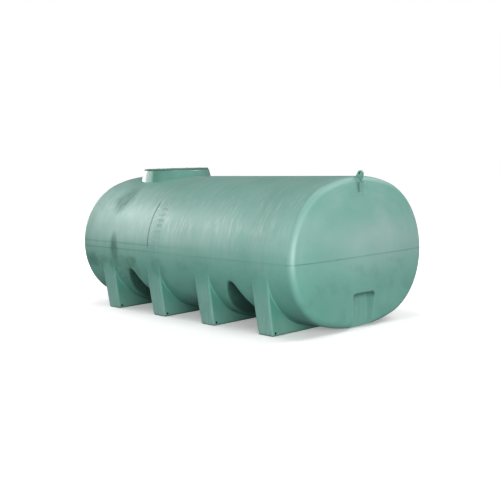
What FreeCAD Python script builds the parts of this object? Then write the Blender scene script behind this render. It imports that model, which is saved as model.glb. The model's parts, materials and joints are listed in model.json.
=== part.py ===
"""Horizontal polyethylene tank for liquid fertilizer, moulded on four saddles."""
import FreeCAD
import Part
import math
import os

# Tank body, in millimetres: a dished oval barrel lying along X, its parting plane level
overall_length = 2940.0
overall_width = 1620.0
crown_rise = 646.0
belly_drop = 588.0
upper_side_radius = 615.0
lower_side_radius = 553.0
dish_radius = 3000.0
dish_width = 420.0
knuckle_radius = 55.0
wall = 8.0
end_cap_depth = 125.0

# Saddles: hollow drafted feet moulded under the barrel
foot_clearance = 8.0
outer_saddle_setback = 414.0
saddle_spacing = 715.0
saddle_base_thickness = 173.0
saddle_top_thickness = 192.0
saddle_end_inset = 82.0
saddle_top_drop = 130.0
saddle_edge_radius = 16.0
crease_size = 10.0
crease_inset = 4.0

# Tie-down holes moulded through both ends of every saddle
tie_hole_radius = 9.0
tie_hole_height = 27.0
tie_hole_setback = 29.0

# Tunnels: open tents across the belly between an outer and an inner saddle
tunnel_crown_drop = 188.0
tunnel_crown_radius = 50.0
tunnel_flare_angle = 27.0
tunnel_mouth_radius = 30.0

# Recess with a flat face for the outlet, in the foot of the right end
recess_width = 260.0
recess_top_drop = 300.0
recess_setback = 80.0
recess_draft = 10.0
recess_corner_radius = 22.0

# Manway on the crown, near the left end
manway_setback = 531.0
neck_top_radius = 324.0
neck_base_radius = 338.0
neck_rise = 62.0
neck_root_depth = 80.0
neck_edge_radius = 8.0
neck_lip = 70.0
neck_lip_thickness = 12.0
seal_thickness = 4.0
seal_width = 30.0
lid_thickness = 10.0
lid_edge_gap = 6.0
lid_chamfer = 4.0
lid_spigot_depth = 22.0
lid_spigot_clearance = 3.0
lid_well_radius = 60.0
lid_well_depth = 11.0
vent_radius = 34.0
vent_height = 9.0

# Lifting lugs: an eye on the crown above each end, and below it a fin between two soft hollows
lug_setback = 24.0
lug_eye_rise = 20.0
lug_eye_radius = 24.0
lug_hole_radius = 10.0
lug_thickness = 20.0
lug_foot_spread = 44.0
lug_slope_angle = 45.0
lug_toe_setback = 28.0
lug_root_depth = 55.0
scoop_width = 168.0
scoop_depth = 28.0
scoop_lift = 2.0
scoop_roof_drop = 40.0
scoop_shelf_drop = 140.0
scoop_end_angle = 40.0
fin_drop = 10.0

# Parting bead round the tank, and the level scale on the front
bead_height = 5.0
bead_proud = 3.0
scale_setback = 1098.0
scale_low = 40.0
scale_high = 426.0
groove_width = 12.0
groove_depth = 3.0
mark_length = 46.0
mark_height = 7.0
mark_proud = 2.5
mark_gap = 16.0
mark_count = 9

half_length = overall_length / 2
half_width = overall_width / 2
axis_height = foot_clearance + belly_drop
crown_height = axis_height + crown_rise
end_seam = half_length - end_cap_depth
outer_saddle_offset = half_length - outer_saddle_setback
inner_saddle_offset = outer_saddle_offset - saddle_spacing
manway_x = manway_setback - half_length
scale_x = scale_setback - half_length
saddle_base_length = overall_width - 2 * saddle_end_inset
saddle_top_height = axis_height - saddle_top_drop
neck_top_height = crown_height + neck_rise
reach = overall_length
margin = 20.0
touch = 0.001


def point(x, y, z):
    return FreeCAD.Vector(x, y, z)


def block(x_low, x_high, y_low, y_high, z_low, z_high):
    return Part.makeBox(x_high - x_low, y_high - y_low, z_high - z_low, point(x_low, y_low, z_low))


def fused(shapes):
    return shapes[0].multiFuse(shapes[1:])


def save(name, shape):
    shape.exportStep(os.path.join("parts", name + ".step"))


def crown_radius(rise, side_radius):
    """Radius of the flat arc that joins two side arcs at the given rise."""
    side_centre = half_width - side_radius
    return (side_centre ** 2 + rise ** 2 - side_radius ** 2) / (2 * (rise - side_radius))


def half_width_below(drop):
    """Half width of the barrel at a level that the lower side arcs reach."""
    return half_width - lower_side_radius + math.sqrt(lower_side_radius ** 2 - drop ** 2)


def oval_arcs():
    """Six tangent arcs of the oval, each as centre y and z, radius, start and end angle."""
    arcs = []
    halves = [(crown_rise, upper_side_radius, 1, 0), (belly_drop, lower_side_radius, -1, math.pi)]
    for rise, side_radius, upward, start in halves:
        flat_radius = crown_radius(rise, side_radius)
        side_y = half_width - side_radius
        flat_z = axis_height + upward * (rise - flat_radius)
        turn = math.atan2(flat_radius - rise, side_y)
        arcs.append((upward * side_y, axis_height, side_radius, start, start + turn))
        arcs.append((0, flat_z, flat_radius, start + turn, start + math.pi - turn))
        arcs.append((-upward * side_y, axis_height, side_radius, start + math.pi - turn, start + math.pi))
    return arcs


def tank_body(inset):
    """Solid oval barrel with knuckled and dished ends, drawn in by the inset.

    One profile of barrel line, knuckle and dish turns about the centre of every arc of the oval,
    and a flat oval closes the middle of each end.
    """
    slope = math.asin((dish_width - knuckle_radius) / (dish_radius - knuckle_radius))
    dish_x = half_length - dish_radius
    knuckle_x = dish_x + (dish_radius - knuckle_radius) * math.cos(slope)
    faces = []
    rims = {-1: [], 1: []}
    for centre_y, centre_z, radius, start, end in oval_arcs():

        def at(x, rho, angle):
            return point(x, centre_y + rho * math.cos(angle), centre_z + rho * math.sin(angle))

        knuckle_rho = radius - knuckle_radius
        dish_rho = radius - dish_width

        def on_knuckle(side, lean):
            size = knuckle_radius - inset
            x = knuckle_x + size * math.sin(lean)
            return at(side * x, knuckle_rho + size * math.cos(lean), start)

        def on_dish(side, lean):
            size = dish_radius - inset
            x = dish_x + size * math.sin(lean)
            return at(side * x, dish_rho + size * math.cos(lean), start)

        upright = math.pi / 2
        joint = upright - slope
        profile = [Part.makeLine(on_knuckle(-1, 0), on_knuckle(1, 0))]
        for side in (-1, 1):
            knuckle = [on_knuckle(side, lean) for lean in (0, joint / 2, joint)]
            dish = [on_dish(side, lean) for lean in (joint, joint + slope / 2, upright)]
            profile.append(Part.Arc(knuckle[0], knuckle[1], knuckle[2]).toShape())
            profile.append(Part.Arc(dish[0], dish[1], dish[2]).toShape())
            flat_x = side * (half_length - inset)
            rim = [at(flat_x, dish_rho, angle) for angle in (start, (start + end) / 2, end)]
            rims[side].append(Part.Arc(rim[0], rim[1], rim[2]).toShape())
        for edge in profile:
            pivot = point(0, centre_y, centre_z)
            faces.append(edge.revolve(pivot, point(1, 0, 0), math.degrees(end - start)))
    for side in (-1, 1):
        faces.append(Part.Face(Part.Wire(Part.__sortEdges__(rims[side]))))
    skin = Part.makeCompound(faces)
    skin.sewShape()
    return Part.makeSolid(Part.Shell(skin.Faces))


def saddle_wedge(x, inset, widening):
    """Drafted foot flush with the barrel at its top, with plain corners."""
    base_x = saddle_base_thickness / 2 - inset + widening
    base_y = saddle_base_length / 2 - inset
    top_x = saddle_top_thickness / 2 - inset + widening
    top_y = half_width_below(saddle_top_drop) - inset
    foot = Part.makeWedge(
        -base_x, inset, -base_y, -top_y, -top_x,
        base_x, saddle_top_height, base_y, top_y, top_x,
    )
    foot.rotate(point(0, 0, 0), point(1, 0, 0), 90)
    foot.translate(point(x, 0, 0))
    return foot


def saddle_block(x, inset):
    """Saddle foot, rounded on its outside and plain on its inside."""
    foot = saddle_wedge(x, inset, 0)
    if inset:
        return foot
    edges = []
    for edge in foot.Edges:
        upright = edge.BoundBox.ZLength > saddle_top_height / 2
        sole = edge.BoundBox.ZMax < saddle_top_height / 2
        if upright or sole:
            edges.append(edge)
    return foot.makeFillet(saddle_edge_radius, edges)


def saddle_creases(x):
    """Filler along the belly in the corner of both saddle sides, sloped like a weld."""
    lean = (saddle_top_thickness - saddle_base_thickness) / 2 / saddle_top_height
    beads = []
    for side in (-1, 1):
        for centre_y, centre_z, radius, start, end in oval_arcs()[3:]:
            face_x = saddle_base_thickness / 2 + lean * centre_z
            profile = [
                (-crease_inset, radius - crease_inset),
                (crease_size + crease_inset, radius - crease_inset),
                (-crease_inset, radius + crease_size + crease_inset),
            ]
            corners = [
                point(side * along, rho * math.cos(start), rho * math.sin(start))
                for along, rho in profile
            ]
            section = Part.Face(Part.makePolygon(corners + corners[:1]))
            bead = section.revolve(point(0, 0, 0), point(1, 0, 0), math.degrees(end - start))
            bead.rotate(point(0, 0, 0), point(0, 1, 0), side * math.degrees(math.atan(lean)))
            bead.translate(point(x + side * face_x, centre_y, centre_z))
            beads.append(bead)
    return fused(beads).common(saddle_wedge(x, 0, margin))


def tie_holes(x, growth):
    """Round cores through both ends of a saddle, along X."""
    y = saddle_base_length / 2 - tie_hole_setback
    radius = tie_hole_radius + growth
    length = 2 * saddle_top_thickness
    cores = []
    for side in (-1, 1):
        start = point(x - length / 2, side * y, tie_hole_height)
        cores.append(Part.makeCylinder(radius, length, start, point(1, 0, 0)))
    return cores


def tunnel_prism(x, growth):
    """Tent-shaped prism across the tank, with a round ridge and flared sides."""
    radius = tunnel_crown_radius + growth
    centre = axis_height - tunnel_crown_drop - tunnel_crown_radius
    flare = math.radians(tunnel_flare_angle)
    edge_x = radius * math.cos(flare)
    edge_z = centre + radius * math.sin(flare)
    foot_x = edge_x + (edge_z + margin) * math.tan(flare)
    y = -half_width - margin
    left_foot = point(x - foot_x, y, -margin)
    left_edge = point(x - edge_x, y, edge_z)
    ridge = point(x, y, centre + radius)
    right_edge = point(x + edge_x, y, edge_z)
    right_foot = point(x + foot_x, y, -margin)
    edges = [
        Part.makeLine(left_foot, left_edge),
        Part.Arc(left_edge, ridge, right_edge).toShape(),
        Part.makeLine(right_edge, right_foot),
        Part.makeLine(right_foot, left_foot),
    ]
    return Part.Face(Part.Wire(edges)).extrude(point(0, overall_width + 2 * margin, 0))


def recess_block(growth):
    """Drafted pocket in the right end, open below, with rounded upper corners."""
    floor_x = half_length - recess_setback - growth
    mouth_x = half_length + margin
    top = axis_height - recess_top_drop + growth
    half = recess_width / 2 + growth
    floor_half = half - recess_draft
    pocket = Part.makeWedge(
        -floor_half, floor_x, -margin, -margin, -half,
        floor_half, mouth_x, top - recess_draft, top, half,
    )
    pocket.rotate(point(0, 0, 0), point(0, 0, 1), -90)
    corners = []
    for edge in pocket.Edges:
        if edge.BoundBox.XLength > recess_setback and edge.BoundBox.ZMin > 0:
            corners.append(edge)
    return pocket.makeFillet(recess_corner_radius + growth, corners)


def revolved(profile, x):
    """Solid of revolution round an upright axis, from radius and height pairs."""
    outline = Part.makePolygon([point(x + r, 0, z) for r, z in profile + profile[:1]])
    return Part.Face(outline).revolve(point(x, 0, 0), point(0, 0, 1), 360)


def shared_edges(shape, first, second):
    """Edges of the shape that lie on the skins of both other shapes."""
    found = []
    for edge in shape.Edges:
        middle = Part.Vertex(edge.valueAt((edge.FirstParameter + edge.LastParameter) / 2))
        gaps = [other.Shells[0].distToShape(middle)[0] for other in (first, second)]
        if max(gaps) < touch:
            found.append(edge)
    return found


def rounded_mouth(body, core, radius):
    """Body with a core cut out of it, and the core's mouth rounded over."""
    opened = body.cut(core)
    return opened.makeFillet(radius, shared_edges(opened, body, core))


def rounded_edge(shape, radius, height, size):
    """Shape with its round edge at the given radius and height rounded off."""
    edges = []
    for edge in shape.Edges:
        box = edge.BoundBox
        level = abs(box.ZMin - height) < touch and abs(box.ZMax - height) < touch
        if level and abs(box.YMax - radius) < touch:
            edges.append(edge)
    return shape.makeFillet(size, edges)


def neck_radius(height, inset):
    """Radius of the neck's drafted wall at a height."""
    slope = (neck_base_radius - neck_top_radius) / neck_rise
    return neck_top_radius + (neck_top_height - height) * slope - inset


def lug_scoop(side, growth):
    """Two soft hollows beside a fin, rolled into an end below its lug, with sloping roof and shelf."""
    end_growth = growth / math.cos(math.radians(scoop_end_angle))
    roof = crown_height - scoop_roof_drop + end_growth
    shelf = crown_height - scoop_shelf_drop - end_growth
    middle = (roof + shelf) / 2
    lean = math.asin((middle - crown_height + dish_width) / dish_radius)
    face_x = half_length - dish_radius * (1 - math.cos(lean)) + scoop_lift
    depth = scoop_depth + scoop_lift
    half = scoop_width / 2
    fin = lug_thickness / 2
    roll_radius = ((half - fin) ** 2 + depth ** 2) / (2 * depth)

    def on_roll(y):
        run = half - abs(y)
        return point(face_x - roll_radius + math.sqrt((roll_radius - growth) ** 2 - run ** 2), y, 0)

    front_x = half_length + margin
    between = (half + fin) / 2
    edges = [
        Part.Arc(on_roll(half), on_roll(between), on_roll(fin)).toShape(),
        Part.makeLine(on_roll(fin), on_roll(-fin)),
        Part.Arc(on_roll(-fin), on_roll(-between), on_roll(-half)).toShape(),
        Part.makeLine(on_roll(-half), point(front_x, -half, 0)),
        Part.makeLine(point(front_x, -half, 0), point(front_x, half, 0)),
        Part.makeLine(point(front_x, half, 0), on_roll(half)),
    ]
    hollow = Part.Face(Part.Wire(edges)).extrude(point(0, 0, crown_height))
    hollow.translate(point(0, 0, crown_height / 2))
    hollow.rotate(point(face_x, 0, middle), point(0, 1, 0), -math.degrees(lean))

    slope = math.tan(math.radians(scoop_end_angle))
    lead = (front_x - face_x) * slope
    corners = [
        point(front_x, -half, roof + lead),
        point(front_x, -half, shelf - lead),
        point(face_x - (roof - shelf) / 2 / slope, -half, middle),
    ]
    wedge = Part.Face(Part.makePolygon(corners + corners[:1])).extrude(point(0, scoop_width, 0))
    scoop = hollow.common(wedge)
    if not growth:
        scoop = scoop.cut(block(0, face_x - fin_drop, -fin, fin, shelf - lead, roof + lead))
    if side < 0:
        scoop = scoop.mirror(point(0, 0, 0), point(1, 0, 0))
    return scoop


def lifting_lug(side, tank):
    """Upright eye on the crown, with sloping inner and outer sides and a foot that follows the tank."""
    x = side * (half_length - lug_setback)
    y = -lug_thickness / 2
    across = point(0, 1, 0)
    eye_height = crown_height + lug_eye_rise
    eye_centre = point(x, y, eye_height)
    eye = Part.makeCylinder(lug_eye_radius, lug_thickness, eye_centre, across)
    foot = crown_height - lug_root_depth
    outer_x = x + side * lug_eye_radius
    lean = lug_eye_radius * math.cos(math.radians(lug_slope_angle))
    sketch = [
        point(x - side * lean, y, eye_height + lean),
        point(x, y, eye_height),
        point(outer_x, y, eye_height),
        point(outer_x, y, crown_height),
        point(side * (half_length - lug_toe_setback), y, foot),
        point(x - side * lug_foot_spread, y, foot),
        point(x - side * lug_foot_spread, y, crown_height),
    ]
    web = Part.Face(Part.makePolygon(sketch + sketch[:1])).extrude(across * lug_thickness)
    hole = Part.makeCylinder(lug_hole_radius, lug_thickness, eye_centre, across)
    return eye.fuse(web).removeSplitter().cut(hole).cut(tank)


os.makedirs("parts", exist_ok=True)

# Mould form: outside and inside of the whole hollow tank
saddle_places = {
    "saddle_left_outer": -outer_saddle_offset,
    "saddle_left_inner": -inner_saddle_offset,
    "saddle_right_inner": inner_saddle_offset,
    "saddle_right_outer": outer_saddle_offset,
}
tunnel_offset = (inner_saddle_offset + outer_saddle_offset) / 2
tunnel_places = {"tunnel_left": -tunnel_offset, "tunnel_right": tunnel_offset}

tank_outside = tank_body(0)
tank_inside = tank_body(wall)


def mould_form(body, inset):
    """Body with its tunnels, recess and scoops pressed in and its saddles added."""
    growth = inset
    form = body
    for x in tunnel_places.values():
        form = rounded_mouth(form, tunnel_prism(x, growth), tunnel_mouth_radius - inset)
    for x in saddle_places.values():
        form = form.fuse(saddle_block(x, inset))
        if not inset:
            form = form.fuse(saddle_creases(x))
    cores = [recess_block(growth), lug_scoop(-1, growth), lug_scoop(1, growth)]
    for x in saddle_places.values():
        cores += tie_holes(x, growth)
    return form.cut(cores)


shell = mould_form(tank_outside, 0).cut(mould_form(tank_inside, wall))

# Saddles, tunnel walls and outlet recess, each parted from the shell along its own faces
upper_half = block(-reach, reach, -reach, reach, axis_height, reach)
lower_half = block(-reach, reach, -reach, reach, -margin, axis_height)
lower_shell = shell.common(lower_half)
upper_shell = shell.common(upper_half)

for name, x in saddle_places.items():
    foot = saddle_block(x, 0)
    save(name, lower_shell.common(foot))
lower_shell = lower_shell.cut([saddle_block(x, 0) for x in saddle_places.values()])

for name, x in tunnel_places.items():
    save(name, lower_shell.common(tunnel_prism(x, wall)))
lower_shell = lower_shell.cut([tunnel_prism(x, wall) for x in tunnel_places.values()])

save("outlet_recess", lower_shell.common(recess_block(wall)))
lower_shell = lower_shell.cut(recess_block(wall))

# Barrel and dished ends, in the mould's upper and lower halves
middle = block(-end_seam, end_seam, -reach, reach, -margin, reach)
left_end = block(-reach, -end_seam, -reach, reach, -margin, reach)
right_end = block(end_seam, reach, -reach, reach, -margin, reach)

neck_foot = crown_height - neck_root_depth
bore_profile = [
    (0, neck_foot),
    (neck_radius(neck_foot, wall), neck_foot),
    (neck_radius(neck_top_height, wall), neck_top_height),
    (0, neck_top_height),
]
neck_bore = revolved(bore_profile, manway_x)

groove_band = block(
    scale_x - groove_width / 2, scale_x + groove_width / 2,
    -half_width, 0,
    axis_height + scale_low, axis_height + scale_high,
)
groove = groove_band.cut(tank_body(groove_depth))

save("barrel_upper_shell", upper_shell.common(middle).cut([neck_bore, groove]))
belly = lower_shell.common(middle)
belly_bays = {
    "belly_left": (-end_seam, -outer_saddle_offset),
    "belly_left_tunnel": (-outer_saddle_offset, -inner_saddle_offset),
    "belly_middle": (-inner_saddle_offset, inner_saddle_offset),
    "belly_right_tunnel": (inner_saddle_offset, outer_saddle_offset),
    "belly_right": (outer_saddle_offset, end_seam),
}
for name, (low, high) in belly_bays.items():
    save(name, belly.common(block(low, high, -reach, reach, -margin, reach)))
save("left_end_upper", upper_shell.common(left_end))
save("left_end_lower", lower_shell.common(left_end))
save("right_end_upper", upper_shell.common(right_end))
save("right_end_lower", lower_shell.common(right_end))

# Parting bead: the thin flash that the mould leaves all round the tank
bead_band = block(
    -reach, reach, -reach, reach,
    axis_height - bead_height / 2, axis_height + bead_height / 2,
)
save("parting_bead", tank_body(-bead_proud).cut(tank_outside).common(bead_band))

# Level scale: raised marks beside the sight groove
mark_start = scale_x + mark_gap
mark_pitch = (scale_high - scale_low - mark_height) / (mark_count - 1)
mark_bands = []
for index in range(mark_count):
    low = axis_height + scale_low + index * mark_pitch
    mark_bands.append(block(mark_start, mark_start + mark_length, -reach, 0, low, low + mark_height))
mark_skin = tank_body(-mark_proud).cut(tank_outside)
save("level_marks", mark_skin.common(fused(mark_bands)))

# Manway: drafted neck with an inward lip, seal, and a lid with its vent cap in a sunken well
lip_radius = neck_top_radius - neck_lip
lip_underside = neck_top_height - neck_lip_thickness
neck_profile = [
    (neck_radius(neck_foot, 0), neck_foot),
    (neck_top_radius, neck_top_height),
    (lip_radius, neck_top_height),
    (lip_radius, lip_underside),
    (neck_radius(lip_underside, wall), lip_underside),
    (neck_radius(neck_foot, wall), neck_foot),
]
neck = rounded_edge(revolved(neck_profile, manway_x), neck_top_radius, neck_top_height, neck_edge_radius)
save("manway_neck", neck.cut(tank_outside))

lid_radius = neck_top_radius - lid_edge_gap
seal_radius = neck_top_radius - neck_edge_radius
lid_underside = neck_top_height + seal_thickness
lid_top = lid_underside + lid_thickness
seal_profile = [
    (seal_radius - seal_width, neck_top_height),
    (seal_radius, neck_top_height),
    (seal_radius, lid_underside),
    (seal_radius - seal_width, lid_underside),
]
save("lid_seal", revolved(seal_profile, manway_x))

spigot_radius = lip_radius - lid_spigot_clearance
well_floor = lid_top - lid_well_depth
lid_profile = [
    (0, well_floor - lid_thickness),
    (lid_well_radius + wall, well_floor - lid_thickness),
    (lid_well_radius + wall, lid_underside),
    (spigot_radius - wall, lid_underside),
    (spigot_radius - wall, lid_underside - lid_spigot_depth),
    (spigot_radius, lid_underside - lid_spigot_depth),
    (spigot_radius, lid_underside),
    (lid_radius, lid_underside),
    (lid_radius, lid_top - lid_chamfer),
    (lid_radius - lid_chamfer, lid_top),
    (lid_well_radius, lid_top),
    (lid_well_radius, well_floor),
    (0, well_floor),
]
save("manway_lid", revolved(lid_profile, manway_x))

vent_top = well_floor + vent_height
vent_profile = [
    (0, well_floor),
    (vent_radius, well_floor),
    (vent_radius, vent_top - lid_chamfer),
    (vent_radius - lid_chamfer, vent_top),
    (0, vent_top),
]
save("lid_vent_cap", revolved(vent_profile, manway_x))

# Lifting lugs over both ends
for name, side in {"lifting_lug_left": -1, "lifting_lug_right": 1}.items():
    save(name, lifting_lug(side, tank_outside))
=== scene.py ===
"""Looks of the moulded polyethylene tank for liquid fertilizer, built around its CAD frame."""
import json
import math

import bpy
from mathutils import Matrix, Vector


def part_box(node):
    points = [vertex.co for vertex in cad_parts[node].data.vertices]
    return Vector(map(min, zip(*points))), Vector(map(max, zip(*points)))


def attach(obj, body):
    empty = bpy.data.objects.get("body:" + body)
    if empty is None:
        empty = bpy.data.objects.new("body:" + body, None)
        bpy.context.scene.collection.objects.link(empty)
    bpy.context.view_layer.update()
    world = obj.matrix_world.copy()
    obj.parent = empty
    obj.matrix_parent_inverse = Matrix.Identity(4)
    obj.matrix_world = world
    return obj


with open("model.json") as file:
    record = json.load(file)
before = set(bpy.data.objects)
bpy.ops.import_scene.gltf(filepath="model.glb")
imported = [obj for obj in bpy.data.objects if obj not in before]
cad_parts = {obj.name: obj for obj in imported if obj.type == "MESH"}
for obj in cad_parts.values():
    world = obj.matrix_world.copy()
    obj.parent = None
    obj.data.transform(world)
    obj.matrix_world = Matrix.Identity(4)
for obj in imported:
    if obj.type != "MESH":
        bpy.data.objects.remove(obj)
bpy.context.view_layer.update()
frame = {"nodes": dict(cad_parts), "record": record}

# Barrel, belly and dished ends: one rotomoulded shell of green polyethylene, satin from the mould.
# The upper mould half is paler, partly bleached by the sun and partly a painted sheen, and is scuffed in
# fine streaks round the barrel; dark stains, a grimy parting line and a mottled belly have stayed on it
# from years outdoors, and the underside is painted darker as painted shade.
sea_green = (0.091, 0.287, 0.230, 1.0)
deep_green = (0.070, 0.244, 0.191, 1.0)
# Pale green of the bleached, dusty and worn places, and of the painted sheen.
pale_green = (0.335, 0.438, 0.415, 1.0)
# Dark green of stains, and of painted shade on the saddle sides and in the lug hollows.
stain_and_shade_green = (0.026, 0.122, 0.086, 1.0)
# Dark green of grime, and of the painted shade under and inside the tank's parts.
grime_and_shade_green = (0.018, 0.070, 0.052, 1.0)
plastic_ior = 1.54
plastic_specular = 0.75
parting_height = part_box("barrel_upper_shell")[0].z
end_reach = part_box("right_end_upper")[1].x


def above_parting(low, high):
    return parting_height + low, parting_height + high


def short_of_end(far, near):
    return end_reach - far, end_reach - near


seam_half_width = 0.007
pale_line_rise = 0.056
pale_line_half_width = 0.010
pale_line_blur = above_parting(pale_line_rise - 0.020, pale_line_rise + 0.060)
upper_half_foot = above_parting(-0.170, 0.040)
end_pale_foot = above_parting(-0.30, 0.05)
end_pale_head = above_parting(0.14, 0.40)
scuffs_foot = above_parting(0.06, 0.26)
scuffs_head = above_parting(0.44, 0.58)
belly_dirt_head = above_parting(-0.080, -0.010)
rim_wear_foot = above_parting(0.10, 0.35)
underside_head = (0.03, 0.30)
turn_to_end = short_of_end(0.110, 0.010)
scuffs_stop = short_of_end(0.130, 0.040)
rim_round = short_of_end(0.090, 0.040)
seam_on_end = short_of_end(0.110, 0.040)
underside_stop = short_of_end(0.250, 0.070)
front_to_middle = (-0.65, -0.05)
belly_dirt_run = (-1.20, 0.60)
left_dirt_run = (-1.46, -1.00)
left_dull_run = (-1.40, -0.80)
seam_dirt_run = (-0.80, 0.10)
faint_line_run = (-0.90, 0.50)
shell_stains = [
    (Vector((-0.955, -0.620, 1.045)), Vector((0.180, 0.340, 0.185)), 0.66),
    (Vector((-0.903, -0.810, 0.585)), Vector((0.085, 0.300, 0.215)), 1.0),
    (Vector((-0.664, -0.800, 0.480)), Vector((0.120, 0.300, 0.085)), 0.65),
    (Vector((-1.290, -0.790, 0.470)), Vector((0.110, 0.300, 0.110)), 0.75),
]
stain_raggedness = 0.6
stain_dulling = 0.35
ragged_grain = 11.0
spot_edge = (0.30, 1.00)
line_core = 0.3
blotch_contrast = (0.30, 0.65)
weather_fade_below = 0.05
weather_fade_above = 0.08


def add_node(tree, kind, **sockets):
    """Adds a node and sets its sockets, whose names have underscores for spaces here."""
    node = tree.nodes.new(kind)
    for name, value in sockets.items():
        node.inputs[name.replace("_", " ")].default_value = value
    return node


def object_place(tree):
    return tree.nodes.new("ShaderNodeTexCoord").outputs["Object"]


def coordinate(tree, vector, axis):
    parted = tree.nodes.new("ShaderNodeSeparateXYZ")
    tree.links.new(vector, parted.inputs["Vector"])
    return parted.outputs[axis]


def noise(tree, place, scale, detail=4.0, roughness=0.60):
    """Noise at one scale, or stretched where the scale has a number for each axis."""
    node = add_node(tree, "ShaderNodeTexNoise", Detail=detail, Roughness=roughness)
    if isinstance(scale, tuple):
        stretch = add_node(tree, "ShaderNodeMapping", Scale=scale)
        tree.links.new(place, stretch.inputs["Vector"])
        place = stretch.outputs["Vector"]
        scale = 1.0
    node.inputs["Scale"].default_value = scale
    tree.links.new(place, node.inputs["Vector"])
    return node.outputs["Fac"]


def spread(tree, value, between, gives):
    """Eases from the first given value to the second while the input passes between two others."""
    node = add_node(tree, "ShaderNodeMapRange", From_Min=between[0], From_Max=between[1],
                    To_Min=gives[0], To_Max=gives[1])
    node.interpolation_type = "SMOOTHSTEP"
    tree.links.new(value, node.inputs["Value"])
    return node.outputs["Result"]


def combined(tree, operation, first, second):
    node = tree.nodes.new("ShaderNodeMath")
    node.operation = operation
    for socket, value in zip(node.inputs, (first, second)):
        if isinstance(value, (int, float)):
            socket.default_value = value
        else:
            tree.links.new(value, socket)
    return node.outputs["Value"]


def product(tree, first, *others):
    for other in others:
        first = combined(tree, "MULTIPLY", first, other)
    return first


def without_sign(tree, value):
    return combined(tree, "ABSOLUTE", value, 0.0)


def tinted(tree, colour, tint, amount):
    node = tree.nodes.new("ShaderNodeMix")
    node.data_type = "RGBA"
    colours = [socket for socket in node.inputs if socket.type == "RGBA"]
    tree.links.new(amount, node.inputs["Factor"])
    if isinstance(colour, tuple):
        colours[0].default_value = colour
    else:
        tree.links.new(colour, colours[0])
    colours[1].default_value = tint
    return next(socket for socket in node.outputs if socket.type == "RGBA")


def soil(tree, tint, amount):
    """Lays a tint over the colour that the material has so far."""
    skin = tree.nodes["Principled BSDF"].inputs["Base Color"]
    tree.links.new(tinted(tree, skin.links[0].from_socket, tint, amount), skin)


def roughen(tree, amount):
    gloss = tree.nodes["Principled BSDF"].inputs["Roughness"]
    tree.links.new(combined(tree, "ADD", gloss.links[0].from_socket, amount), gloss)


def vector_combined(tree, operation, vector, other):
    node = tree.nodes.new("ShaderNodeVectorMath")
    node.operation = operation
    tree.links.new(vector, node.inputs[0])
    node.inputs[1].default_value = other
    return node.outputs["Vector"]


def length_of(tree, vector):
    node = tree.nodes.new("ShaderNodeVectorMath")
    node.operation = "LENGTH"
    tree.links.new(vector, node.inputs[0])
    return node.outputs["Value"]


def soft_spot(tree, place, centre, size, raggedness):
    """Full strength in the middle of an oval of the given half sizes, fading to its ragged edge."""
    offset = vector_combined(tree, "SUBTRACT", place, centre)
    reach = length_of(tree, vector_combined(tree, "DIVIDE", offset, size))
    ragged = combined(tree, "SUBTRACT", noise(tree, place, ragged_grain), 0.5)
    reach = combined(tree, "ADD", reach, product(tree, ragged, raggedness))
    return spread(tree, reach, spot_edge, (1.0, 0.0))


def thin_line(tree, position, line_position, half_width):
    gap = without_sign(tree, combined(tree, "SUBTRACT", position, line_position))
    return spread(tree, gap, (half_width * line_core, half_width), (1.0, 0.0))


# Paler upper half, paler band above the parting line and paler upper middle of each end: partly sun
# bleaching, partly painted sheen.
def bleach_and_painted_sheen(tree, place):
    along = without_sign(tree, coordinate(tree, place, "X"))
    across = coordinate(tree, place, "Y")
    height = coordinate(tree, place, "Z")
    patches = noise(tree, place, 2.6, detail=3.0, roughness=0.55)
    streaks = noise(tree, place, (85.0, 2.4, 2.4), detail=3.0)
    upper_half = spread(tree, height, upper_half_foot, (0.12, 0.62))
    parting_band_bleach_and_sheen = spread(tree, height, pale_line_blur, (0.0, 0.38))
    barrel_bleach_and_sheen = product(
        tree, combined(tree, "ADD", upper_half, parting_band_bleach_and_sheen),
        spread(tree, patches, (0.25, 0.75), (0.60, 1.20)),
        spread(tree, streaks, (0.30, 0.72), (0.65, 1.35)))
    end_bleach_and_sheen = product(
        tree, spread(tree, along, turn_to_end, (0.0, 1.2)),
        spread(tree, across, front_to_middle, (0.25, 1.0)),
        spread(tree, height, end_pale_foot, (0.3, 1.0)),
        spread(tree, height, end_pale_head, (1.0, 0.05)))
    return combined(tree, "ADD", barrel_bleach_and_sheen, end_bleach_and_sheen)


def scuffing(tree, place):
    along = without_sign(tree, coordinate(tree, place, "X"))
    height = coordinate(tree, place, "Z")
    hatching = noise(tree, place, (78.0, 8.5, 8.5), detail=2.0, roughness=0.50)
    patches = noise(tree, place, (3.2, 3.2, 5.0), detail=3.0, roughness=0.55)
    return product(
        tree, spread(tree, hatching, (0.46, 0.70), (0.0, 2.1)),
        spread(tree, patches, (0.34, 0.62), (0.15, 1.0)),
        spread(tree, height, scuffs_foot, (0.15, 1.0)),
        spread(tree, height, scuffs_head, (1.0, 0.3)),
        spread(tree, along, scuffs_stop, (1.0, 0.0)))


def new_material(name):
    material = bpy.data.materials.new(name)
    material.use_nodes = True
    return material, material.node_tree, material.node_tree.nodes["Principled BSDF"]


def bumped(tree, height, strength, depth):
    """Adds a bump of the given depth in metres over what the surface has so far."""
    normal = tree.nodes["Principled BSDF"].inputs["Normal"]
    bump = add_node(tree, "ShaderNodeBump", Strength=strength, Distance=depth)
    tree.links.new(height, bump.inputs["Height"])
    if normal.is_linked:
        tree.links.new(normal.links[0].from_socket, bump.inputs["Normal"])
    tree.links.new(bump.outputs["Normal"], normal)


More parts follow.
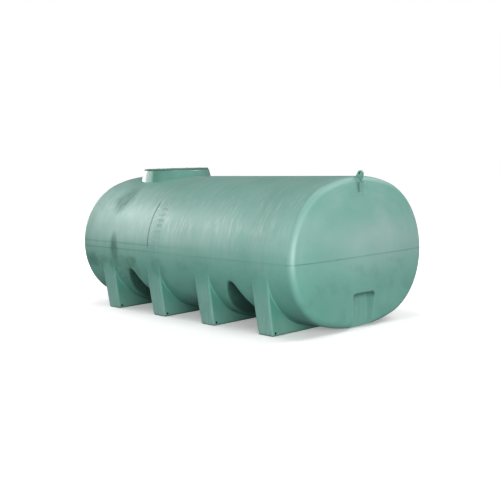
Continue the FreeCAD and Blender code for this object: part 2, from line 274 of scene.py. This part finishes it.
def moulded_polyethylene(name, body, shade, paling_amount, smooth, rubbed):
    material, tree, shader = new_material(name)
    place = object_place(tree)
    clouds = noise(tree, place, 1.7, roughness=0.55)
    specks = noise(tree, place, 140.0, detail=2.0)
    colour = tinted(tree, body, shade, spread(tree, clouds, (0.35, 0.70), (0.0, 0.9)))
    # Paler where sun-bleached and where the painted sheen lies, then scuffed and specked paler.
    colour = tinted(tree, colour, pale_green, product(tree, bleach_and_painted_sheen(tree, place), paling_amount))
    colour = tinted(tree, colour, pale_green, product(tree, scuffing(tree, place), paling_amount))
    colour = tinted(tree, colour, pale_green, spread(tree, specks, (0.64, 0.82), (0.0, 0.22)))
    tree.links.new(colour, shader.inputs["Base Color"])
    worn = noise(tree, place, (16.0, 3.0, 3.0))
    tree.links.new(spread(tree, worn, (0.25, 0.75), (smooth, rubbed)), shader.inputs["Roughness"])
    shader.inputs["IOR"].default_value = plastic_ior
    shader.inputs["Specular IOR Level"].default_value = plastic_specular
    bumped(tree, noise(tree, place, 240.0, detail=3.0, roughness=0.55), strength=0.25, depth=0.0006)
    ripple = noise(tree, place, (14.0, 2.2, 2.2), detail=3.0, roughness=0.50)
    bumped(tree, ripple, strength=0.22, depth=0.004)
    return material


def dress(names, material):
    for name in names:
        slots = frame["nodes"][name].data.materials
        slots.clear()
        slots.append(material)


def dirt_blotches(tree, place):
    return noise(tree, place, 6.0, detail=5.0, roughness=0.62)


def weather(tree, lowest):
    """Stains, belly dirt and the dirty left end, from the lowest height given upwards."""
    place = object_place(tree)
    along = coordinate(tree, place, "X")
    height = coordinate(tree, place, "Z")
    blotches = dirt_blotches(tree, place)
    smears = noise(tree, place, (24.0, 9.0, 9.0), roughness=0.65)
    weather_edge = (lowest - weather_fade_below, lowest + weather_fade_above)
    reached = spread(tree, height, weather_edge, (0.0, 1.0))
    for centre, size, strength in shell_stains:
        stain = product(
            tree, soft_spot(tree, place, centre, size, stain_raggedness),
            spread(tree, smears, (0.30, 0.62), (0.55, 1.0)), strength, reached)
        soil(tree, stain_and_shade_green, stain)
        roughen(tree, product(tree, stain, stain_dulling))
    belly_dirt = product(
        tree, spread(tree, blotches, (0.46, 0.66), (0.0, 1.0)),
        spread(tree, height, belly_dirt_head, (1.0, 0.0)),
        spread(tree, along, belly_dirt_run, (0.55, 0.18)), reached)
    soil(tree, stain_and_shade_green, belly_dirt)
    left_dirt = product(
        tree, spread(tree, along, left_dirt_run, (0.40, 0.0)),
        spread(tree, blotches, (0.35, 0.65), (0.5, 1.0)), reached)
    soil(tree, stain_and_shade_green, left_dirt)


shell_finish = moulded_polyethylene(
    "moulded_green_polyethylene", sea_green, deep_green, paling_amount=0.26, smooth=0.38, rubbed=0.50)
shell_tree = shell_finish.node_tree
weather(shell_tree, lowest=0.0)
shell_place = object_place(shell_tree)
shell_along = coordinate(shell_tree, shell_place, "X")
shell_across = coordinate(shell_tree, shell_place, "Y")
shell_height = coordinate(shell_tree, shell_place, "Z")
from_middle = without_sign(shell_tree, shell_along)
shell_blotches = dirt_blotches(shell_tree, shell_place)
# Painted shade: the underside is painted darker towards the bottom, in mottled blotches, fading out before
# the ends.
underside_painted_shade = product(
    shell_tree, spread(shell_tree, shell_height, underside_head, (0.72, 0.0)),
    spread(shell_tree, from_middle, underside_stop, (1.0, 0.0)),
    spread(shell_tree, shell_blotches, blotch_contrast, (0.6, 1.0)))
soil(shell_tree, grime_and_shade_green, underside_painted_shade)
rim_wear = product(
    shell_tree, spread(shell_tree, from_middle, rim_round, (0.0, 0.15)),
    spread(shell_tree, shell_height, rim_wear_foot, (0.35, 1.0)))
roughen(shell_tree, rim_wear)
roughen(shell_tree, spread(shell_tree, shell_along, left_dull_run, (0.16, 0.0)))
seam_strength = combined(
    shell_tree, "ADD", spread(shell_tree, shell_along, seam_dirt_run, (0.50, 0.10)),
    spread(shell_tree, shell_along, seam_on_end, (0.0, 0.22)))
seam_dirt = product(
    shell_tree, thin_line(shell_tree, shell_height, parting_height, seam_half_width), seam_strength,
    spread(shell_tree, shell_blotches, blotch_contrast, (0.55, 1.0)))
soil(shell_tree, grime_and_shade_green, seam_dirt)
# A faint dark line is painted a little above the parting line, at the foot of the pale band.
pale_line_height = parting_height + pale_line_rise
faint_dark_line = product(
    shell_tree, thin_line(shell_tree, shell_height, pale_line_height, pale_line_half_width),
    spread(shell_tree, shell_along, faint_line_run, (0.42, 0.0)),
    spread(shell_tree, shell_blotches, blotch_contrast, (0.45, 1.0)))
soil(shell_tree, grime_and_shade_green, faint_dark_line)
dress(
    [
        "barrel_upper_shell", "belly_left", "belly_left_tunnel", "belly_middle", "belly_right_tunnel",
        "belly_right", "left_end_upper", "left_end_lower", "right_end_upper", "right_end_lower",
        "parting_bead",
    ],
    shell_finish,
)

# Saddles: four hollow feet moulded across the belly in the same polyethylene, tied down at their ends.
# Rain leaves dust on the fronts and soil clings to the soles. The sides are painted darker as painted
# shade, darkest furthest in under the tank, and the tie holes are painted near-black.
# Painted shade colour of the saddle sides.
side_shade_green = (0.034, 0.168, 0.116, 1.0)
hole_black = (0.006, 0.016, 0.013, 1.0)
hole_dark_width = 0.003
sole_dirt_head = (0.004, 0.018)
splash_head = (0.03, 0.24)
dust_top = 0.44
dust_head = (dust_top - 0.20, dust_top)
weather_foot = dust_top - 0.10
inside_to_outside = (0.26, 0.62)
facing_front = (0.45, 0.90)
facing_side = (0.55, 0.95)
run_contrast = (0.32, 0.66)


def bore(name):
    """Middle and radius, in metres, of a bore that the record gives as a mount."""
    mount = next(mount for mount in frame["record"]["mounts"] if mount["name"] == name)
    return Vector(mount["pos_m"]), mount["dims"]["r_mm"] / 1000


def distance(tree, first, second):
    squares = combined(tree, "ADD", product(tree, first, first), product(tree, second, second))
    return combined(tree, "SQRT", squares, 0.0)


saddle_finish = moulded_polyethylene(
    "saddle_green_polyethylene", sea_green, deep_green, paling_amount=0.10, smooth=0.34, rubbed=0.48)
saddle_tree = saddle_finish.node_tree
weather(saddle_tree, lowest=weather_foot)
saddle_place = object_place(saddle_tree)
saddle_across = without_sign(saddle_tree, coordinate(saddle_tree, saddle_place, "Y"))
saddle_height = coordinate(saddle_tree, saddle_place, "Z")
saddle_normal = saddle_tree.nodes.new("ShaderNodeTexCoord").outputs["Normal"]
front = without_sign(saddle_tree, coordinate(saddle_tree, saddle_normal, "Y"))
side = without_sign(saddle_tree, coordinate(saddle_tree, saddle_normal, "X"))
runs = noise(saddle_tree, saddle_place, (42.0, 42.0, 5.0), roughness=0.62)
front_dust = product(
    saddle_tree, spread(saddle_tree, front, facing_front, (0.0, 0.26)),
    spread(saddle_tree, runs, run_contrast, (0.25, 1.0)),
    spread(saddle_tree, saddle_height, dust_head, (1.0, 0.0)))
soil(saddle_tree, pale_green, front_dust)
# Painted shade: the sides, which face along the tank, are painted darker in streaks.
side_painted_shade = product(
    saddle_tree, spread(saddle_tree, side, facing_side, (0.0, 0.50)),
    spread(saddle_tree, runs, run_contrast, (0.55, 1.0)))
soil(saddle_tree, side_shade_green, side_painted_shade)
splash_dust = product(
    saddle_tree, spread(saddle_tree, saddle_height, splash_head, (0.22, 0.0)),
    spread(saddle_tree, runs, run_contrast, (0.3, 1.0)))
soil(saddle_tree, pale_green, splash_dust)
# Painted shade: the sides are painted darker still further in under the tank.
inner_painted_shade = product(
    saddle_tree, spread(saddle_tree, side, facing_side, (0.0, 1.0)),
    spread(saddle_tree, saddle_across, inside_to_outside, (0.85, 0.0)),
    spread(saddle_tree, runs, run_contrast, (0.7, 1.0)))
soil(saddle_tree, stain_and_shade_green, inner_painted_shade)
sole_dirt = product(
    saddle_tree, spread(saddle_tree, saddle_height, sole_dirt_head, (0.85, 0.0)),
    spread(saddle_tree, noise(saddle_tree, saddle_place, 30.0), (0.30, 0.62), (0.4, 1.0)))
soil(saddle_tree, grime_and_shade_green, sole_dirt)
# The tie holes are painted near-black, fading out over a few millimetres round them.
tie_hole, tie_hole_radius = bore("tie_right_outer_back")
tie_hole_dark_edge = (tie_hole_radius, tie_hole_radius + hole_dark_width)
from_tie_hole = distance(
    saddle_tree, combined(saddle_tree, "SUBTRACT", saddle_across, tie_hole.y),
    combined(saddle_tree, "SUBTRACT", saddle_height, tie_hole.z))
soil(saddle_tree, hole_black, spread(saddle_tree, from_tie_hole, tie_hole_dark_edge, (0.97, 0.0)))
dress(["saddle_left_outer", "saddle_left_inner", "saddle_right_inner", "saddle_right_outer"], saddle_finish)

# Strap tunnels: pointed passages moulded in polyethylene right through the belly, between the saddles of
# each pair. Inside, from just within their mouths, they are painted nearly black as painted shade.
belly_arc_radius = 0.553
belly_arc_reach = 0.257
shaded_depth = (-0.012, 0.022)
tunnel_finish = moulded_polyethylene(
    "tunnel_green_polyethylene", sea_green, deep_green, paling_amount=0.10, smooth=0.40, rubbed=0.55)
tunnel_tree = tunnel_finish.node_tree
tunnel_place = object_place(tunnel_tree)
tunnel_across = without_sign(tunnel_tree, coordinate(tunnel_tree, tunnel_place, "Y"))
tunnel_height = coordinate(tunnel_tree, tunnel_place, "Z")
from_arc_centre = distance(
    tunnel_tree, combined(tunnel_tree, "SUBTRACT", tunnel_across, belly_arc_reach),
    combined(tunnel_tree, "SUBTRACT", tunnel_height, parting_height))
depth_inside = combined(tunnel_tree, "SUBTRACT", belly_arc_radius, from_arc_centre)
# Painted shade: the tunnel walls are painted nearly black from just inside the mouths.
tunnel_painted_shade = product(
    tunnel_tree, spread(tunnel_tree, depth_inside, shaded_depth, (0.0, 0.97)),
    spread(tunnel_tree, noise(tunnel_tree, tunnel_place, 9.0), (0.30, 0.70), (0.80, 1.0)))
soil(tunnel_tree, grime_and_shade_green, tunnel_painted_shade)
dress(["tunnel_left", "tunnel_right"], tunnel_finish)

# Outlet recess: a drafted pocket of polyethylene moulded into the end at the floor, where the outlet is
# guarded. Dust dulls its walls, and a dark band of painted shadow lies under its roof.
recess_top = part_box("outlet_recess")[1].z
roof_shadow_band = (recess_top - 0.070, recess_top - 0.020)
recess_finish = moulded_polyethylene(
    "recess_green_polyethylene", sea_green, deep_green, paling_amount=0.12, smooth=0.36, rubbed=0.50)
recess_tree = recess_finish.node_tree
recess_place = object_place(recess_tree)
recess_height = coordinate(recess_tree, recess_place, "Z")
recess_dust = noise(recess_tree, recess_place, (30.0, 30.0, 6.0))
soil(recess_tree, pale_green, spread(recess_tree, recess_dust, (0.32, 0.68), (0.08, 0.24)))
# Painted shadow: a dark band under the recess roof.
recess_roof_shadow = product(
    recess_tree, spread(recess_tree, recess_height, roof_shadow_band, (0.0, 0.88)),
    spread(recess_tree, recess_dust, (0.30, 0.66), (0.6, 1.0)))
soil(recess_tree, grime_and_shade_green, recess_roof_shadow)
dress(["outlet_recess"], recess_finish)

# Level scale: a sight groove with nine raised marks and plain litre figures, moulded in the shell's own
# polyethylene. The groove is painted darker, and handling has worn the raised marks and figures pale.
scale_low, scale_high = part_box("level_marks")
groove_gap = 0.016
groove_half_width = 0.0075
groove_foot = (scale_low.z - 0.020, scale_low.z + 0.030)
groove_head = (scale_high.z - 0.010, scale_high.z + 0.016)
front_only = (-0.60, -0.50)
mark_count = 9
mark_thickness = 0.007
mark_pitch = (scale_high.z - scale_low.z - mark_thickness) / (mark_count - 1)
first_litres = 2300
litres_step = 200
figure_size = 0.042
figure_gap = 0.016
figure_proud = 0.0026
figure_half_depth = 0.0022
figure_curve_steps = 4
figure_weld = 0.00005
scale_finish = moulded_polyethylene(
    "worn_scale_polyethylene", sea_green, deep_green, paling_amount=0.62, smooth=0.34, rubbed=0.46)
dress(["level_marks"], scale_finish)
# The sight groove is painted darker along its length.
groove_darkening = product(
    shell_tree, thin_line(shell_tree, shell_along, scale_low.x - groove_gap, groove_half_width),
    spread(shell_tree, shell_height, groove_foot, (0.0, 0.80)),
    spread(shell_tree, shell_height, groove_head, (1.0, 0.0)),
    spread(shell_tree, shell_across, front_only, (1.0, 0.0)))
soil(shell_tree, grime_and_shade_green, groove_darkening)


def raised_figure(text):
    bpy.ops.object.select_all(action="DESELECT")
    bpy.ops.object.text_add(location=(0.0, 0.0, 0.0))
    lettering = bpy.context.object.data
    lettering.body = text
    lettering.size = figure_size
    lettering.align_x = "LEFT"
    lettering.align_y = "CENTER"
    lettering.extrude = figure_half_depth
    lettering.resolution_u = figure_curve_steps
    bpy.ops.object.convert(target="MESH")
    bpy.ops.object.mode_set(mode="EDIT")
    bpy.ops.mesh.select_all(action="SELECT")
    bpy.ops.mesh.remove_doubles(threshold=figure_weld)
    bpy.ops.mesh.normals_make_consistent(inside=False)
    bpy.ops.object.mode_set(mode="OBJECT")
    return bpy.context.object


barrel = frame["nodes"]["barrel_upper_shell"]
shapes_now = bpy.context.evaluated_depsgraph_get()
rightward = Vector((1.0, 0.0, 0.0))
backward = Vector((0.0, 1.0, 0.0))
figures = []
for index in range(mark_count):
    mark_height = scale_low.z + mark_thickness / 2 + index * mark_pitch
    start = Vector((scale_high.x + figure_gap, scale_low.y, mark_height)) - backward
    spot, outward = barrel.ray_cast(start, backward, depsgraph=shapes_now)[1:3]
    figure = raised_figure(str(first_litres + index * litres_step))
    upward = outward.cross(rightward).normalized()
    turn = Matrix((rightward, upward, outward)).transposed().to_4x4()
    seat = spot + outward * (figure_proud - figure_half_depth)
    figure.matrix_world = Matrix.Translation(seat) @ turn
    bpy.ops.object.transform_apply(location=True, rotation=True, scale=True)
    figures.append(figure)
bpy.ops.object.select_all(action="DESELECT")
for figure in figures:
    figure.select_set(True)
bpy.context.view_layer.objects.active = figures[0]
bpy.ops.object.join()
scale_figures = bpy.context.object
scale_figures.name = "level_figures"
scale_figures.data.materials.append(scale_finish)
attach(scale_figures, "root")

# Manway neck: a drafted ring of polyethylene moulded on the crown round the way in, glossier than the
# barrel. The lid's edge shelters it, so its green has kept its depth; its right side is painted paler as
# painted light.
neck_green = (0.058, 0.240, 0.177, 1.0)
shaded_neck_green = (0.045, 0.203, 0.146, 1.0)
neck_low, neck_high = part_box("manway_neck")
right_side_run = ((neck_low.x + neck_high.x) / 2 - 0.05, neck_high.x)
neck_finish = moulded_polyethylene(
    "neck_green_polyethylene", neck_green, shaded_neck_green, paling_amount=0.05, smooth=0.15, rubbed=0.24)
neck_tree = neck_finish.node_tree
neck_place = object_place(neck_tree)
# Painted light: the neck is painted paler towards its right side.
right_side_painted_light = product(
    neck_tree, spread(neck_tree, coordinate(neck_tree, neck_place, "X"), right_side_run, (0.0, 0.20)),
    spread(neck_tree, noise(neck_tree, neck_place, 7.0), (0.30, 0.70), (0.7, 1.0)))
soil(neck_tree, pale_green, right_side_painted_light)
dress(["manway_neck"], neck_finish)

# Lid seal: a flat ring of black rubber squeezed between the neck's lip and the lid.
# It is matt and dusty, with the fine grain of a cut sheet.
rubber_black = (0.014, 0.015, 0.015, 1.0)
rubber_dust = (0.110, 0.125, 0.115, 1.0)
seal_rubber, rubber_tree, rubber_shader = new_material("black_seal_rubber")
rubber_place = object_place(rubber_tree)
dusting = noise(rubber_tree, rubber_place, 38.0)
dusted = spread(rubber_tree, dusting, (0.35, 0.70), (0.15, 0.8))
rubber_colour = tinted(rubber_tree, rubber_black, rubber_dust, dusted)
rubber_tree.links.new(rubber_colour, rubber_shader.inputs["Base Color"])
rubber_matt = spread(rubber_tree, dusting, (0.30, 0.70), (0.60, 0.85))
rubber_tree.links.new(rubber_matt, rubber_shader.inputs["Roughness"])
cut_grain = noise(rubber_tree, rubber_place, 600.0, detail=2.0, roughness=0.50)
bumped(rubber_tree, cut_grain, strength=0.3, depth=0.0004)
dress(["lid_seal"], seal_rubber)

# Lid: a flat disc moulded in polyethylene, let down on the seal, with a well in the middle for the vent.
# Its top is pebbled against slipping and dull, and painted darker towards the rim as painted shade.
lid_green = (0.062, 0.196, 0.150, 1.0)
shaded_lid_green = (0.048, 0.160, 0.120, 1.0)
lid_specular = 0.2
lid_low, lid_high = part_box("manway_lid")
lid_centre = (lid_low + lid_high) / 2
lid_radius = (lid_high.x - lid_low.x) / 2
middle_reach = lid_radius * 1.15
middle_size = Vector((middle_reach, middle_reach, 1.0))
middle_raggedness = 0.3
pebbles_per_metre = 150.0
lid_finish = moulded_polyethylene(
    "lid_green_polyethylene", lid_green, shaded_lid_green, paling_amount=0.05, smooth=0.62, rubbed=0.80)
lid_tree = lid_finish.node_tree
lid_tree.nodes["Principled BSDF"].inputs["Specular IOR Level"].default_value = lid_specular
lid_place = object_place(lid_tree)
lid_middle = soft_spot(lid_tree, lid_place, lid_centre, middle_size, middle_raggedness)
lid_blotches = noise(lid_tree, lid_place, 11.0, roughness=0.62)
# Painted shade: the lid is painted darker towards its rim.
lid_rim_painted_shade = product(
    lid_tree, spread(lid_tree, lid_middle, (0.0, 0.6), (0.25, 0.10)),
    spread(lid_tree, lid_blotches, (0.34, 0.66), (0.5, 1.0)))
soil(lid_tree, grime_and_shade_green, lid_rim_painted_shade)
lid_dust = noise(lid_tree, lid_place, 5.0, detail=5.0, roughness=0.65)
soil(lid_tree, pale_green, spread(lid_tree, lid_dust, (0.45, 0.70), (0.0, 0.16)))
pebbles = add_node(lid_tree, "ShaderNodeTexVoronoi", Scale=pebbles_per_metre)
lid_tree.links.new(lid_place, pebbles.inputs["Vector"])
bumped(lid_tree, pebbles.outputs["Distance"], strength=0.5, depth=0.0008)
dress(["manway_lid"], lid_finish)

# Lid screws: twelve low button heads of stainless steel with hexagon sockets, set round the rim and
# screwed down through the seal into the neck's lip. Every edge of a head is rounded, and the steel is
# brushed and a little dulled.
screw_count = 12
screw_circle = lid_radius - 0.024
head_radius = 0.0100
head_depth = 0.0022
head_round = 0.0013
head_sides = 24
round_segments = 3
socket_radius = 0.0048
socket_depth = 0.0015
socket_sides = 6
screw_weld = 0.00002
smooth_below = math.radians(30.0)
level_enough = 0.99
steel_grey = (0.42, 0.43, 0.43, 1.0)
dulled_steel = (0.24, 0.25, 0.25, 1.0)
screw_steel, steel_tree, steel_shader = new_material("dulled_stainless_steel")
steel_place = object_place(steel_tree)
tarnish = spread(steel_tree, noise(steel_tree, steel_place, 160.0), (0.40, 0.66), (0.0, 0.9))
steel_colour = tinted(steel_tree, steel_grey, dulled_steel, tarnish)
steel_tree.links.new(steel_colour, steel_shader.inputs["Base Color"])
brushing = noise(steel_tree, steel_place, (1800.0, 160.0, 160.0), detail=2.0, roughness=0.50)
brushed_gloss = spread(steel_tree, brushing, (0.30, 0.70), (0.30, 0.52))
steel_tree.links.new(brushed_gloss, steel_shader.inputs["Roughness"])
steel_shader.inputs["Metallic"].default_value = 1.0
bumped(steel_tree, brushing, strength=0.12, depth=0.0002)
head_place = Vector((lid_centre.x + screw_circle, lid_centre.y, lid_high.z + head_depth / 2))
socket_place = head_place + Vector((0.0, 0.0, head_depth / 2))
bpy.ops.object.select_all(action="DESELECT")
bpy.ops.mesh.primitive_cylinder_add(
    vertices=head_sides, radius=head_radius, depth=head_depth, location=head_place)
screw = bpy.context.object
bpy.ops.object.transform_apply(location=True, rotation=True, scale=True)
bpy.ops.object.mode_set(mode="EDIT")
bpy.ops.mesh.select_mode(type="FACE")
bpy.ops.mesh.select_all(action="SELECT")
bpy.ops.mesh.bevel(offset=head_round, segments=round_segments, affect="EDGES")
bpy.ops.object.mode_set(mode="OBJECT")
for polygon in screw.data.polygons:
    polygon.select = polygon.normal.z > level_enough
bpy.ops.object.mode_set(mode="EDIT")
bpy.ops.mesh.delete(type="ONLY_FACE")
bpy.ops.mesh.select_mode(type="EDGE")
bpy.ops.mesh.select_all(action="DESELECT")
bpy.ops.mesh.primitive_circle_add(vertices=socket_sides, radius=socket_radius, location=socket_place)
bpy.ops.mesh.extrude_region_move(TRANSFORM_OT_translate={"value": (0.0, 0.0, -socket_depth)})
bpy.ops.mesh.edge_face_add()
bpy.ops.mesh.select_all(action="DESELECT")
bpy.ops.mesh.select_non_manifold(
    extend=False, use_wire=False, use_boundary=True, use_multi_face=False, use_non_contiguous=False,
    use_verts=False)
bpy.ops.mesh.bridge_edge_loops()
bpy.ops.mesh.select_all(action="SELECT")
bpy.ops.mesh.remove_doubles(threshold=screw_weld)
bpy.ops.mesh.normals_make_consistent(inside=False)
bpy.ops.object.mode_set(mode="OBJECT")
bpy.ops.object.shade_smooth_by_angle(angle=smooth_below)
screw.data.materials.append(screw_steel)
to_lid_centre = Matrix.Translation(Vector((lid_centre.x, lid_centre.y, 0.0)))
for index in range(screw_count):
    lid_screw = screw
    if index:
        lid_screw = bpy.data.objects.new("lid_screw", screw.data.copy())
        bpy.context.scene.collection.objects.link(lid_screw)
        swing = Matrix.Rotation(math.tau * index / screw_count, 4, "Z")
        lid_screw.data.transform(to_lid_centre @ swing @ to_lid_centre.inverted())
    lid_screw.name = "lid_screw_%02d" % (index + 1)
    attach(lid_screw, "root")

# Vent cap: a low black plastic cap screwed into the well of the lid, over the breather hole.
# It is mottled with weathered grey, with a fine moulded grain.
vent_black = (0.020, 0.021, 0.021, 1.0)
vent_grey = (0.070, 0.074, 0.072, 1.0)
vent_finish = moulded_polyethylene(
    "weathered_black_plastic", vent_black, vent_grey, paling_amount=0.04, smooth=0.42, rubbed=0.58)
dress(["lid_vent_cap"], vent_finish)

# Lifting lugs: flat polyethylene eyes on the crown over both ends, moulded with fins and rolled hollows
# below them. Slings have rubbed the eyes, and the eye holes and the hollows are painted darker as
# painted shade.
lug_eye, lug_eye_radius = bore("lug_eye_right")
eye_shade_edge = (lug_eye_radius + 0.0005, lug_eye_radius + 0.0035)
hollow_size = Vector((0.060, 0.105, 0.085))
hollow_height = 1.150
hollow_raggedness = 0.4
hollow_painted_shade = 0.28
hollow_dulling = 0.30
lug_finish = moulded_polyethylene(
    "lug_green_polyethylene", neck_green, shaded_neck_green, paling_amount=0.10, smooth=0.34, rubbed=0.46)
lug_tree = lug_finish.node_tree
lug_place = object_place(lug_tree)
lug_along = without_sign(lug_tree, coordinate(lug_tree, lug_place, "X"))
lug_height = coordinate(lug_tree, lug_place, "Z")
from_eye = distance(
    lug_tree, combined(lug_tree, "SUBTRACT", lug_along, lug_eye.x),
    combined(lug_tree, "SUBTRACT", lug_height, lug_eye.z))
# Painted shade: the eye holes are painted dark, fading out a few millimetres round them.
soil(lug_tree, grime_and_shade_green, spread(lug_tree, from_eye, eye_shade_edge, (0.95, 0.0)))
dress(["lifting_lug_left", "lifting_lug_right"], lug_finish)
# Painted shade: the rolled hollows under the lugs are painted darker.
for end in (-1, 1):
    hollow_place = Vector((end * lug_eye.x, 0.0, hollow_height))
    hollow = soft_spot(shell_tree, shell_place, hollow_place, hollow_size, hollow_raggedness)
    soil(shell_tree, stain_and_shade_green, product(shell_tree, hollow, hollow_painted_shade))
    roughen(shell_tree, product(shell_tree, hollow, hollow_dulling))

# Studio: a pale floor that glows a little in a soft white room. Windows in front and on the left lay the
# sheen on the barrel, a broad panel from the camera's side lights the right end, and a panel behind and
# one on the ceiling round off the shapes.
floor_size = 80.0
floor_white = (0.88, 0.88, 0.88, 1.0)
floor_roughness = 0.9
bounce_grey = (0.34, 0.34, 0.34, 1.0)
plain_white = (1.0, 1.0, 1.0, 1.0)
glow_reach = (1.2, 5.0)
glow_strength = (0.25, 0.85)
room_light = 0.24
bpy.ops.object.select_all(action="DESELECT")
bpy.ops.mesh.primitive_plane_add(size=floor_size, location=(0.0, 0.0, 0.0))
floor = bpy.context.object
floor.name = "studio_floor"
floor_paint, paint_tree, floor_shader = new_material("pale_floor")
bounce = add_node(paint_tree, "ShaderNodeBsdfDiffuse", Color=bounce_grey)
floor_shader.inputs["Base Color"].default_value = floor_white
floor_shader.inputs["Roughness"].default_value = floor_roughness
floor_shader.inputs["Specular IOR Level"].default_value = 0.0
floor_shader.inputs["Emission Color"].default_value = plain_white
from_tank = length_of(paint_tree, object_place(paint_tree))
floor_glow = spread(paint_tree, from_tank, glow_reach, glow_strength)
paint_tree.links.new(floor_glow, floor_shader.inputs["Emission Strength"])
floor_seen = paint_tree.nodes.new("ShaderNodeMixShader")
seen_by_camera = paint_tree.nodes.new("ShaderNodeLightPath").outputs["Is Camera Ray"]
paint_tree.links.new(seen_by_camera, floor_seen.inputs["Fac"])
paint_tree.links.new(bounce.outputs["BSDF"], floor_seen.inputs[1])
paint_tree.links.new(floor_shader.outputs["BSDF"], floor_seen.inputs[2])
paint_tree.links.new(floor_seen.outputs["Shader"], paint_tree.nodes["Material Output"].inputs["Surface"])
floor.data.materials.append(floor_paint)

world = bpy.data.worlds.new("white_room")
world.use_nodes = True
bpy.context.scene.world = world
room_tree = world.node_tree
walls = room_tree.nodes["Background"]
walls.inputs["Color"].default_value = plain_white
walls_seen = room_tree.nodes.new("ShaderNodeLightPath").outputs["Is Camera Ray"]
wall_strength = spread(room_tree, walls_seen, (0.0, 1.0), (room_light, 1.0))
room_tree.links.new(wall_strength, walls.inputs["Strength"])
bpy.context.scene.view_settings.view_transform = "Standard"

lamp_distance = 8.0
lamp_aim = Vector((0.1, 0.0, 0.7))


def soft_light(name, azimuth, elevation, power, width=4.0, height=3.5):
    lamp = bpy.data.lights.new(name, "AREA")
    lamp.shape = "RECTANGLE"
    lamp.size = width
    lamp.size_y = height
    lamp.energy = power
    swing = Matrix.Rotation(math.radians(azimuth), 4, "Z")
    tip = Matrix.Rotation(math.radians(90.0 - elevation), 4, "X")
    pull_back = Matrix.Translation((0.0, 0.0, lamp_distance))
    holder = bpy.data.objects.new(name, lamp)
    holder.matrix_world = Matrix.Translation(lamp_aim) @ swing @ tip @ pull_back
    bpy.context.scene.collection.objects.link(holder)


soft_light("camera_side_panel", azimuth=58.0, elevation=2.5, power=730.0, width=7.0)
soft_light("front_window", azimuth=0.0, elevation=8.0, power=105.0)
soft_light("front_left_window", azimuth=-60.0, elevation=14.0, power=125.0)
soft_light("high_left_window", azimuth=-60.0, elevation=35.0, power=40.0)
soft_light("left_window", azimuth=-90.0, elevation=14.0, power=232.0)
soft_light("far_left_lamp", azimuth=-71.0, elevation=25.0, power=58.0, width=2.4, height=1.3)
soft_light("back_panel", azimuth=150.0, elevation=42.0, power=312.0)
soft_light("ceiling_panel", azimuth=0.0, elevation=85.0, power=180.0)

# Camera: at the photograph's place, a little above the lid, looking down along the tank.
# Its lens, turn and roll were fitted to the tank's outline.
image_side = 500.0
focal_pixels = 882.7
sensor_width = 36.0
camera_yaw = math.radians(47.33)
camera_pitch = math.radians(6.14)
camera_roll = math.radians(-1.57)
camera_place = (6.058, -5.481, 1.432)
lens = bpy.data.cameras.new("photo_camera")
lens.sensor_width = sensor_width
lens.lens = focal_pixels / image_side * sensor_width
camera = bpy.data.objects.new("photo_camera", lens)
camera_turn = Matrix.Rotation(camera_yaw, 4, "Z") @ Matrix.Rotation(math.pi / 2 - camera_pitch, 4, "X")
camera.matrix_world = Matrix.Translation(camera_place) @ camera_turn @ Matrix.Rotation(camera_roll, 4, "Z")
bpy.context.scene.collection.objects.link(camera)
bpy.context.scene.camera = camera
